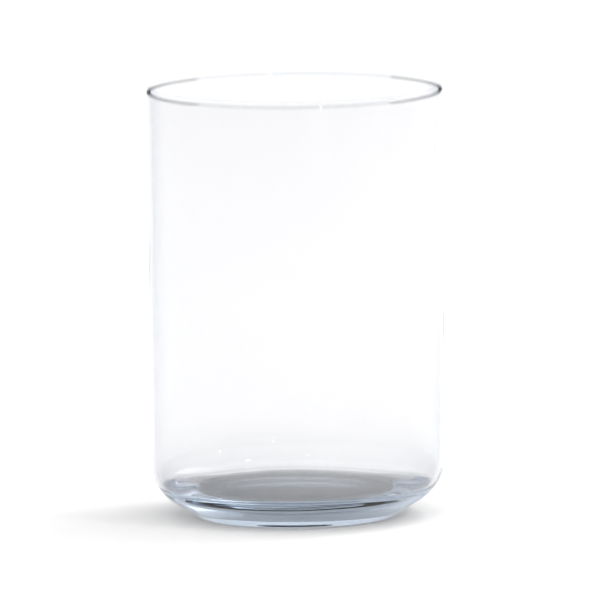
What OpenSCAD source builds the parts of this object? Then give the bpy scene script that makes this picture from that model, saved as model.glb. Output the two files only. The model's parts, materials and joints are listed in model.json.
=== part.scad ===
// Clear glass cylinder vase, blown in one piece.
//
// The vase stands on a flat ring. A sloped heel turns through a large radius
// into a straight, thin wall that ends in a rounded, fire-polished rim. Inside,
// the wall keeps its thickness round the heel and meets a thick, flat floor in
// a small radius. The vase is open at the top.
//
// Millimetres, +Z up. The origin is the centre of the foot, on the plane that
// the vase stands on.

/* [Overall size] */
// Height from the surface that the vase stands on to the top of the rim
height = 220; // [150:1:350]
// Outside diameter of the straight wall
outer_d = 150; // [120:1:250]
// Thickness of the wall and heel, which is also the width of the rounded rim
wall = 2; // [1.2:0.1:6]

/* [Foot and heel] */
// Diameter at which the flat of the foot and the slope of the heel would meet
foot_d = 100; // [60:1:126]
// Slope of the heel above the horizontal, in degrees
heel_angle = 32; // [20:1:45]
// Outside radius that turns the heel up into the wall, where the slope leaves room for it
heel_r = 25; // [8:1:48]
// Radius that turns the foot up into the heel
foot_edge_r = 5; // [2:1:16]
// Width of the flat ring that the vase stands on
foot_ring_w = 12; // [3:0.5:20]
// Height of the shallow hollow in the middle of the underside
kick_up = 0.6; // [0.3:0.1:4]

/* [Inside floor] */
// Height of the inside floor above the surface that the vase stands on
floor_z = 15; // [9:0.5:30]
// Radius between the inside floor and the wall
floor_corner_r = 5; // [2:0.5:12]

/* [Hidden] */
$fn = 180;

outer_r = outer_d / 2;
inner_r = outer_r - wall;
foot_r = foot_d / 2;

// Directions from the centre of a round stretch, as [radius, height]
outward = [1, 0];
down = [0, -1];
slope_normal = [sin(heel_angle), -cos(heel_angle)];
// Shortest straight stretch that is left on the slope
slope_min = 1;
// Width across which the heel can turn, outside the foot's edge and the straight stretch
slope_start_r = foot_r + foot_edge_r * (sin(heel_angle) - tan(heel_angle / 2));
turn_w = outer_r - slope_start_r - slope_min * cos(heel_angle);
heel_turn_r = min(heel_r, turn_w / (1 - sin(heel_angle)));

// Centres of the round stretches of the outside, as [radius, height]
heel_c = [
    outer_r - heel_turn_r,
    (outer_r - heel_turn_r - foot_r) * tan(heel_angle) + heel_turn_r / cos(heel_angle)
];
foot_c = [foot_r - foot_edge_r * tan(heel_angle / 2), foot_edge_r];
rim_c = [outer_r - wall / 2, height - wall / 2];

// The hollow underside is part of a sphere that meets the foot's flat ring
kick_edge_r = foot_c.x - foot_ring_w;
kick_sphere_r = (kick_edge_r ^ 2 + kick_up ^ 2) / (2 * kick_up);

// The inside turns round the heel's own centre, so the wall keeps its thickness
inner_heel_r = heel_turn_r - wall;
// The floor's corner meets that turn, or the slope below it, or the wall above it
corner_z = floor_z + floor_corner_r;
corner_drop = heel_c.y - corner_z;
corner_reach = inner_heel_r - floor_corner_r;
meets_wall = corner_drop <= 0;
meets_slope = corner_drop >= corner_reach * cos(heel_angle);
corner_c = [
    meets_wall ? inner_r - floor_corner_r
    : meets_slope ? foot_r + (corner_z - (wall + floor_corner_r) / cos(heel_angle)) / tan(heel_angle)
    : heel_c.x + sqrt(corner_reach ^ 2 - corner_drop ^ 2),
    corner_z
];
// Direction in which the floor's corner ends and the turn round the heel starts
turn_start = meets_wall ? outward
    : meets_slope ? slope_normal
    : (corner_c - heel_c) / corner_reach;

// The part of a disc between two directions that are less than 120 degrees apart
module turn(centre, radius, start, end) {
    intersection() {
        translate(centre) circle(radius);
        polygon([centre, centre + 2 * radius * start, centre + 2 * radius * end]);
    }
}

// Half of the vase's outline, filled up to the middle of the rim
module outer_outline() {
    polygon([
        [0, 0],
        [foot_c.x, 0],
        foot_c + foot_edge_r * slope_normal,
        heel_c + heel_turn_r * slope_normal,
        [outer_r, heel_c.y],
        [outer_r, rim_c.y],
        [0, rim_c.y]
    ]);
    turn(foot_c, foot_edge_r, down, slope_normal);
    turn(heel_c, heel_turn_r, slope_normal, outward);
}

// Half of the space inside, open through the top
module inner_outline() {
    polygon([
        [0, floor_z],
        [corner_c.x, floor_z],
        corner_c + floor_corner_r * turn_start,
        if (meets_slope) heel_c + inner_heel_r * turn_start,
        if (!meets_wall) [inner_r, heel_c.y],
        [inner_r, height],
        [0, height]
    ]);
    turn(corner_c, floor_corner_r, down, turn_start);
    if (!meets_wall) turn(heel_c, inner_heel_r, turn_start, outward);
}

module wall_section() {
    difference() {
        outer_outline();
        inner_outline();
        translate([0, kick_up - kick_sphere_r]) circle(kick_sphere_r, $fn = 10 * $fn);
    }
    translate(rim_c) circle(wall / 2);
}

module glass_vessel() {
    color([0.93, 0.96, 0.98, 0.35]) rotate_extrude() wall_section();
}

glass_vessel();
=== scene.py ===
"""A clear glass cylinder vase, blown in one piece, standing on a pale floor in soft studio light."""

import json
import math

import bpy
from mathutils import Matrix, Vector


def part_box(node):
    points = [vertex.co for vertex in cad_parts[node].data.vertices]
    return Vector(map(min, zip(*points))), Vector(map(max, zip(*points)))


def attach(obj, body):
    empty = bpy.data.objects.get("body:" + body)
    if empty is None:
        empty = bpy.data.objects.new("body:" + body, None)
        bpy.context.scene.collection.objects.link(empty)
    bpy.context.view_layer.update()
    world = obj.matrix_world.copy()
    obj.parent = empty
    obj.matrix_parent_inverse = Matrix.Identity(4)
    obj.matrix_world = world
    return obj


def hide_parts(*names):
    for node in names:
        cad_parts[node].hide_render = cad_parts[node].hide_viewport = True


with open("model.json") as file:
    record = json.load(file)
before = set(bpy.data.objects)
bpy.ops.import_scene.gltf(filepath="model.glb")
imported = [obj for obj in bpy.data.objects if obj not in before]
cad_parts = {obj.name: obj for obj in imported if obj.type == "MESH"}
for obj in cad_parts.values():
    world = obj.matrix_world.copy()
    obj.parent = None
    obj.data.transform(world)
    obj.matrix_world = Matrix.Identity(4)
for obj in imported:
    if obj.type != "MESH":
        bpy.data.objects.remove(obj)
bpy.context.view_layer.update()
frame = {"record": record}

# ---------------------------------------------------------------- sizes, in metres

MM = 0.001
LOW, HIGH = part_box("glass_vessel")
MOUNTS = {mount["name"]: mount for mount in frame["record"]["mounts"]}
MOUTH = MOUNTS["mouth"]
MOUTH_LENGTH = MOUTH["dims"]["length_mm"] * MM
INSIDE_LOW = frame["record"]["physics"]["openings"][0]["box_m"][0]

HEIGHT = HIGH.z
OUTER_R = (HIGH.x - LOW.x) / 2
WALL = OUTER_R - MOUTH["dims"]["r_mm"] * MM
RIM_R = WALL / 2
# The straight inside wall ends at the top of the heel's turn
HEEL_TOP = MOUTH["pos_m"][2] - MOUTH_LENGTH / 2
# The stated opening starts half a millimetre above the floor
FLOOR_Z = INSIDE_LOW[2] - 0.5 * MM
FLOOR_CORNER_R = 5 * MM
HEEL_R = 25 * MM
HEEL_ANGLE = math.radians(32)
FOOT_EDGE_R = 5 * MM
FOOT_RING_W = 12 * MM
# The foot's mount is in the middle of its flat ring
FOOT_FLAT_R = MOUNTS["foot"]["pos_m"][0] + FOOT_RING_W / 2
KICK_UP = 0.6 * MM

# Blown glass is never quite true: its foot sits a little to one side, and its wall ripples
FOOT_DRIFT = 1.2 * MM
FOOT_DRIFT_REACH = 40 * MM
RIPPLE = 0.12 * MM
RIPPLE_SIZE = 45 * MM

SIDES = 256

# ---------------------------------------------------------------- glass

GLASS_IOR = 1.5
ABSORB_COLOR = (0.25, 0.42, 0.6, 1)
ABSORB_DENSITY = 7.0
RUB_DEPTH = 0.03
SMEAR_DEPTH = 0.004
RELIEF = 0.04
CLEAR_RIM = 0.92
WALL_TINT = (0.882, 0.88, 0.885, 1)
# Painted shade: the wall is darker from the foot up to about 44 mm
LOW_SHADE_TINT = (0.79, 0.795, 0.815, 1)
FOOT_TINT = (0.955, 0.955, 0.96, 1)
# Painted shadow: a mottled dark ring on the floor of the glass, towards its edge
SHADOW_RING_TINT = (0.5, 0.52, 0.56, 1)
# Painted shade where the wall is seen edge-on
EDGE_SHADE_TINT = (0.6, 0.62, 0.68, 1)
# Painted shade: a dark line along the rim, mostly see-through
RIM_SHADE_TINT = (0.25, 0.27, 0.31, 1)

# ---------------------------------------------------------------- studio

FLOOR_GAP = 0.05 * MM
FLOOR_RADIUS = 14
FLOOR_GREYS = (0.88, 0.88, 0.88, 1), (0.91, 0.91, 0.91, 1)
# Brightness of the sky overhead, and behind and beside the vase at two heights
SKY_STRENGTH = 1.12
SKY = 1.0
LOW_BACK = 0.5
MID_BACK = 0.25
LOW_SIDE = 0.8
MID_SIDE = 1.2
# Each lamp's place, size and power
SIDE_LAMP = (1.5, 1.1, 1.7), 2.0, 22
SPARKS = (
    ((1.5, -1.3, 1.7), 0.16, 6),
    ((0.72, -2.0, 0.1), 0.1, 1.2),
    ((-0.3, -1.9, 1.5), 0.1, 1.5),
    ((2.2, -0.9, 0.5), 0.14, 3),
    ((1.2, 0.8, 2.2), 0.1, 4),
)
CAMERA_DISTANCE = 9.15
CAMERA_ELEVATION = math.radians(7.41)
CAMERA_LEAN = math.radians(-0.64)
CAMERA_LENS = 1083
BOUNCES = 64


# ---------------------------------------------------------------- small helpers

def deselect_all():
    if bpy.context.object and bpy.context.object.mode != "OBJECT":
        bpy.ops.object.mode_set(mode="OBJECT")
    bpy.ops.object.select_all(action="DESELECT")


def arc(centre, radius, start, end, steps):
    """Points of a round stretch, as (radius, height), from start to end in degrees."""
    turn = [math.radians(start + (end - start) * i / steps) for i in range(steps + 1)]
    return [(centre[0] + radius * math.cos(a), centre[1] + radius * math.sin(a)) for a in turn]


def straight(start, end, steps):
    """Points between two ends, without the ends themselves."""
    return [
        (start[0] + (end[0] - start[0]) * i / steps, start[1] + (end[1] - start[1]) * i / steps)
        for i in range(1, steps)
    ]


# ---------------------------------------------------------------- shader maths

class Socket:
    """A value in a node tree, on which Python's own operators add Math nodes."""

    def __init__(self, tree, link):
        self.tree, self.link = tree, link

    def node(self, kind, settings=None, output=0, **inputs):
        made = self.tree.nodes.new(kind)
        for name, value in (settings or {}).items():
            setattr(made, name, value)
        for name, value in inputs.items():
            slot = made.inputs[int(name[1:])] if name[1:].isdigit() else made.inputs[name.replace("_", " ")]
            if isinstance(value, Socket):
                self.tree.links.new(value.link, slot)
            else:
                slot.default_value = value
        return Socket(self.tree, made.outputs[output])

    def maths(self, operation, first, second=0.0):
        return self.node("ShaderNodeMath", {"operation": operation}, i0=first, i1=second)

    def __add__(self, other):
        return self.maths("ADD", self, other)

    def __radd__(self, other):
        return self.maths("ADD", other, self)

    def __sub__(self, other):
        return self.maths("SUBTRACT", self, other)

    def __rsub__(self, other):
        return self.maths("SUBTRACT", other, self)

    def __mul__(self, other):
        return self.maths("MULTIPLY", self, other)

    def __truediv__(self, other):
        return self.maths("DIVIDE", self, other)

    def __pow__(self, other):
        return self.maths("POWER", self, other)

    def at_least(self, other):
        return self.maths("MAXIMUM", self, other)

    def root(self):
        return self.maths("SQRT", self)

    def rise(self, low, high):
        """0 below low and 1 above high, with a smooth step between them."""
        settings = {"interpolation_type": "SMOOTHSTEP"}
        return self.node("ShaderNodeMapRange", settings, i0=self, i1=low, i2=high, i3=0.0, i4=1.0)

    def split(self):
        parts = self.node("ShaderNodeSeparateXYZ", i0=self).link.node
        return [Socket(self.tree, parts.outputs[axis]) for axis in "XYZ"]

    def stretched(self, scale):
        return self.node("ShaderNodeMapping", i0=self, Scale=scale)

    def noise(self, scale, detail=2.0):
        return self.node("ShaderNodeTexNoise", Vector=self, Scale=scale, Detail=detail)

    def blend(self, first, second):
        """A colour between two others, where this value is the factor."""
        return self.node("ShaderNodeMix", {"data_type": "RGBA"}, output=2, i0=self, i6=first, i7=second)


def new_material(name):
    """A material with its shader, and the piece's own coordinates in it."""
    material = bpy.data.materials.new(name)
    material.use_nodes = True
    tree = material.node_tree
    place = Socket(tree, tree.nodes.new("ShaderNodeTexCoord").outputs["Object"])
    return material, tree.nodes["Principled BSDF"], place


def feed(shader, name, value):
    value.tree.links.new(value.link, shader.inputs[name])


# ---------------------------------------------------------------- the blown glass

def vessel_outline():
    """The section through the glass, from the middle of the underside round to the middle of the floor."""
    heel = (OUTER_R - HEEL_R, HEEL_TOP)
    foot = (FOOT_FLAT_R, FOOT_EDGE_R)
    rim = (OUTER_R - RIM_R, HEIGHT - RIM_R)
    slope = math.degrees(HEEL_ANGLE) - 90

    # The floor's corner touches the inside of the heel's turn
    inner_heel_r = HEEL_R - WALL
    drop = heel[1] - FLOOR_Z - FLOOR_CORNER_R
    reach = inner_heel_r - FLOOR_CORNER_R
    corner = (heel[0] + math.sqrt(reach ** 2 - drop ** 2), FLOOR_Z + FLOOR_CORNER_R)
    meet = -math.degrees(math.asin(drop / reach))

    kick_edge_r = FOOT_FLAT_R - FOOT_RING_W
    kick_sphere_r = (kick_edge_r ** 2 + KICK_UP ** 2) / (2 * KICK_UP)
    kick_turn = math.degrees(math.asin(kick_edge_r / kick_sphere_r))

    underside = arc((0, KICK_UP - kick_sphere_r), kick_sphere_r, 90, 90 - kick_turn, 14)
    foot_edge = arc(foot, FOOT_EDGE_R, -90, slope, 8)
    heel_turn = arc(heel, HEEL_R, slope, 0, 18)
    lip = arc(rim, RIM_R, 0, 180, 12)
    inner_turn = arc(heel, inner_heel_r, 0, meet, 14)
    floor_corner = arc(corner, FLOOR_CORNER_R, meet, -90, 10)[1:]
    floor_middle = (0, FLOOR_Z)

    return (
        underside
        + straight(underside[-1], foot_edge[0], 4)
        + foot_edge
        + straight(foot_edge[-1], heel_turn[0], 8)
        + heel_turn
        + straight(heel_turn[-1], lip[0], 48)
        + lip
        + straight(lip[-1], inner_turn[0], 48)
        + inner_turn
        + floor_corner
        + straight(floor_corner[-1], floor_middle, 16)
        + [floor_middle]
    )


def spin_outline(name, outline):
    """Draws an outline point by point and spins it round the axis into a closed solid."""
    deselect_all()
    bpy.ops.mesh.primitive_plane_add(size=2 * MM, location=(0, 0, 0))
    piece = bpy.context.object
    piece.name = name
    bpy.ops.object.mode_set(mode="EDIT")
    bpy.ops.mesh.merge(type="CENTER")
    here = Vector((outline[0][0], 0, outline[0][1]))
    bpy.ops.transform.translate(value=here)
    for radius, height in outline[1:]:
        there = Vector((radius, 0, height))
        bpy.ops.mesh.extrude_region_move(TRANSFORM_OT_translate={"value": there - here})
        here = there
    bpy.ops.mesh.select_all(action="SELECT")
    bpy.ops.mesh.spin(steps=SIDES, angle=2 * math.pi, center=(0, 0, 0), axis=(0, 0, 1))
    bpy.ops.mesh.select_all(action="SELECT")
    bpy.ops.mesh.remove_doubles(threshold=0.001 * MM)
    bpy.ops.mesh.normals_make_consistent(inside=False)
    bpy.ops.object.mode_set(mode="OBJECT")
    bpy.ops.object.shade_smooth()
    return piece


def drift_foot(piece):
    """Slides the foot to one side, less and less up to the wall."""
    for vertex in piece.data.vertices:
        height = min(max(vertex.co.z / FOOT_DRIFT_REACH, 0), 1)
        vertex.co.x -= FOOT_DRIFT * (1 - height) ** 2 * (1 + 2 * height)


def ripple_wall(piece):
    """Gives the glass above the foot the slow ripples of a blown wall."""
    above_foot = piece.vertex_groups.new(name="above_foot")
    for vertex in piece.data.vertices:
        share = min(max(vertex.co.z / FLOOR_Z, 0), 1)
        above_foot.add([vertex.index], share, "REPLACE")
    ripples = bpy.data.textures.new("blown_ripples", "CLOUDS")
    ripples.noise_scale = RIPPLE_SIZE
    ripples.noise_depth = 1
    displace = piece.modifiers.new("ripples", "DISPLACE")
    displace.texture = ripples
    displace.texture_coords = "LOCAL"
    displace.strength = RIPPLE
    displace.vertex_group = above_foot.name
    bpy.ops.object.modifier_apply(modifier=displace.name)
    piece.vertex_groups.clear()


def glass_roughness(place, height):
    """Polished glass, a little dull where shelves and tables have rubbed the foot's flat."""
    down = place.node("ShaderNodeNewGeometry", output=1).split()[2] * -1
    rubbed = (1 - height.rise(0.1 * MM, 1 * MM)) * down.rise(0.7, 0.95)
    scratches = place.noise(90.0, 4.0).rise(0.35, 0.7)
    smears = place.noise(14.0).rise(0.4, 0.8)
    return rubbed * (0.3 + scratches) * RUB_DEPTH + smears * SMEAR_DEPTH


def glass_relief(place):
    """Drawing lines that run up the wall, on a surface that waves slowly."""
    drawing_lines = place.stretched((60.0, 60.0, 3.0)).noise(1.0, 3.0)
    waves = place.noise(22.0, 1.0)
    relief = drawing_lines * 0.35 + waves
    return place.node("ShaderNodeBump", Strength=RELIEF, Distance=1 * MM, Height=relief)


def glass_tint(place, height, rim):
    """A painted tint, which clear glass by itself wouldn't have: a grey veil, painted shade low on the wall
    and at its edges, a painted dark line at the rim and a painted shadow ring on the floor.
    """
    above_foot = height.rise(14 * MM, 20 * MM)
    # Painted shade low on the wall, in soft clouds, fading out by about 44 mm
    above_low_shade = height.rise(20 * MM, 44 * MM)
    cloud = place.noise(12.0, 3.0).rise(0.3, 0.7) * 0.5
    wall = (above_low_shade * (1 - cloud) + cloud * above_foot).blend(LOW_SHADE_TINT, WALL_TINT)

    across, along, _ = place.split()
    radius = (across * across + along * along).root()
    # Painted shadow: a mottled dark ring at floor height, between 30 and 55 mm out
    at_floor = height.rise(13 * MM, 14.5 * MM) * (1 - height.rise(16 * MM, 19 * MM))
    ring = radius.rise(30 * MM, 46 * MM) * (1 - radius.rise(49 * MM, 55 * MM))
    mottle = 0.55 + place.noise(60.0, 4.0).rise(0.35, 0.65) * 0.45
    foot = (at_floor * ring * mottle).blend(FOOT_TINT, SHADOW_RING_TINT)

    # The wall seen almost along its surface, darkened with painted shade
    edge = place.node("ShaderNodeLayerWeight", output=1, Blend=0.5).rise(0.5, 0.95) * above_low_shade
    # Painted shade on the rim, over the edges, the veil and the floor ring
    return rim.blend(edge.blend(above_foot.blend(foot, wall), EDGE_SHADE_TINT), RIM_SHADE_TINT)


def clear_glass():
    """Clear glass, faintly blue through a long way of it."""
    material, shader, place = new_material("clear_glass")
    tree = material.node_tree
    height = place.split()[2]
    # The rim is mostly see-through, which keeps its line faint
    rim = height.rise(HEIGHT - 5 * MM, HEIGHT - 1.6 * MM)
    feed(shader, "Roughness", glass_roughness(place, height))
    feed(shader, "Normal", glass_relief(place))
    feed(shader, "Alpha", 1 - rim * CLEAR_RIM)
    # The base colour carries painted shade and a painted shadow ring, over a grey veil
    feed(shader, "Base Color", glass_tint(place, height, rim))
    shader.inputs["IOR"].default_value = GLASS_IOR
    shader.inputs["Transmission Weight"].default_value = 1.0

    absorb = tree.nodes.new("ShaderNodeVolumeAbsorption")
    absorb.inputs["Color"].default_value = ABSORB_COLOR
    absorb.inputs["Density"].default_value = ABSORB_DENSITY
    tree.links.new(absorb.outputs["Volume"], tree.nodes["Material Output"].inputs["Volume"])
    return material


vessel = spin_outline("blown_glass_vessel", vessel_outline())
drift_foot(vessel)
ripple_wall(vessel)
vessel.data.materials.clear()
vessel.data.materials.append(clear_glass())
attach(vessel, "root")
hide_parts("glass_vessel")


# ---------------------------------------------------------------- floor, light and camera

def studio_floor():
    """A white floor, a hair below the foot, so that the glass keeps its own lower surface."""
    deselect_all()
    bpy.ops.mesh.primitive_circle_add(
        vertices=96, radius=FLOOR_RADIUS, fill_type="NGON", location=(0, 0, -FLOOR_GAP)
    )
    floor = bpy.context.object
    floor.name = "studio_floor"
    material, shader, place = new_material("white_floor")
    feed(shader, "Base Color", place.noise(400.0).blend(*FLOOR_GREYS))
    shader.inputs["Roughness"].default_value = 0.9
    shader.inputs["Specular IOR Level"].default_value = 0.0
    floor.data.materials.append(material)


def studio_sky():
    """Even white light from all round, with a grey panel low down behind the vase."""
    world = bpy.data.worlds.new("studio_sky")
    bpy.context.scene.world = world
    world.use_nodes = True
    tree = world.node_tree
    direction = Socket(tree, tree.nodes.new("ShaderNodeTexCoord").outputs["Generated"])
    x, y, z = direction.split()
    behind = y.at_least(0.0) ** 2 / (x * x + y * y + 0.000001)
    below_top = 1 - z.rise(0.45, 0.7)
    above_low = z.rise(0.1, 0.25)
    low = 1 - above_low
    mid = above_low * below_top
    high = 1 - below_top
    low_part = low * (behind * LOW_BACK + (1 - behind) * LOW_SIDE)
    mid_part = mid * (behind * MID_BACK + (1 - behind) * MID_SIDE)
    sky = low_part + mid_part + high * SKY
    tree.links.new(sky.link, tree.nodes["Background"].inputs["Color"])
    tree.nodes["Background"].inputs["Strength"].default_value = SKY_STRENGTH


def round_lamp(name, place, size, energy):
    """A round lamp that shines at the lower part of the vase."""
    light = bpy.data.lights.new(name, "AREA")
    light.shape = "DISK"
    light.size = size
    light.energy = energy
    lamp = bpy.data.objects.new(name, light)
    bpy.context.scene.collection.objects.link(lamp)
    lamp.location = place
    lamp.rotation_euler = (Vector((0, 0, HEIGHT / 4)) - lamp.location).to_track_quat("-Z", "Y").to_euler()


def studio_lamps():
    """A soft lamp on the right, and small bare ones that sparkle in the base."""
    round_lamp("side", *SIDE_LAMP)
    for number, (place, size, energy) in enumerate(SPARKS):
        round_lamp(f"spark_{number}", place, size, energy)


def camera():
    """Looks slightly down at the vase from far off, as a long lens does, with a small lean."""
    aim = Vector((1.65 * MM, 0, HEIGHT / 2 - 0.3 * MM))
    back = Vector((0, -math.cos(CAMERA_ELEVATION), math.sin(CAMERA_ELEVATION)))
    data = bpy.data.cameras.new("camera")
    data.sensor_width = 36
    data.lens = CAMERA_LENS
    data.clip_start = 0.1
    data.clip_end = 60
    eye = bpy.data.objects.new("camera", data)
    bpy.context.scene.collection.objects.link(eye)
    eye.location = aim + back * CAMERA_DISTANCE
    eye.rotation_euler = (-back).to_track_quat("-Z", "Y").to_euler()
    eye.rotation_euler.rotate_axis("Z", CAMERA_LEAN)
    bpy.context.scene.camera = eye


def light_paths():
    """Light may turn many times in the glass before it comes out, and tones are shown as they are."""
    cycles = bpy.context.scene.cycles
    cycles.max_bounces = BOUNCES
    cycles.glossy_bounces = BOUNCES
    cycles.transmission_bounces = BOUNCES
    bpy.context.scene.view_settings.view_transform = "Standard"


studio_floor()
studio_sky()
studio_lamps()
camera()
light_paths()
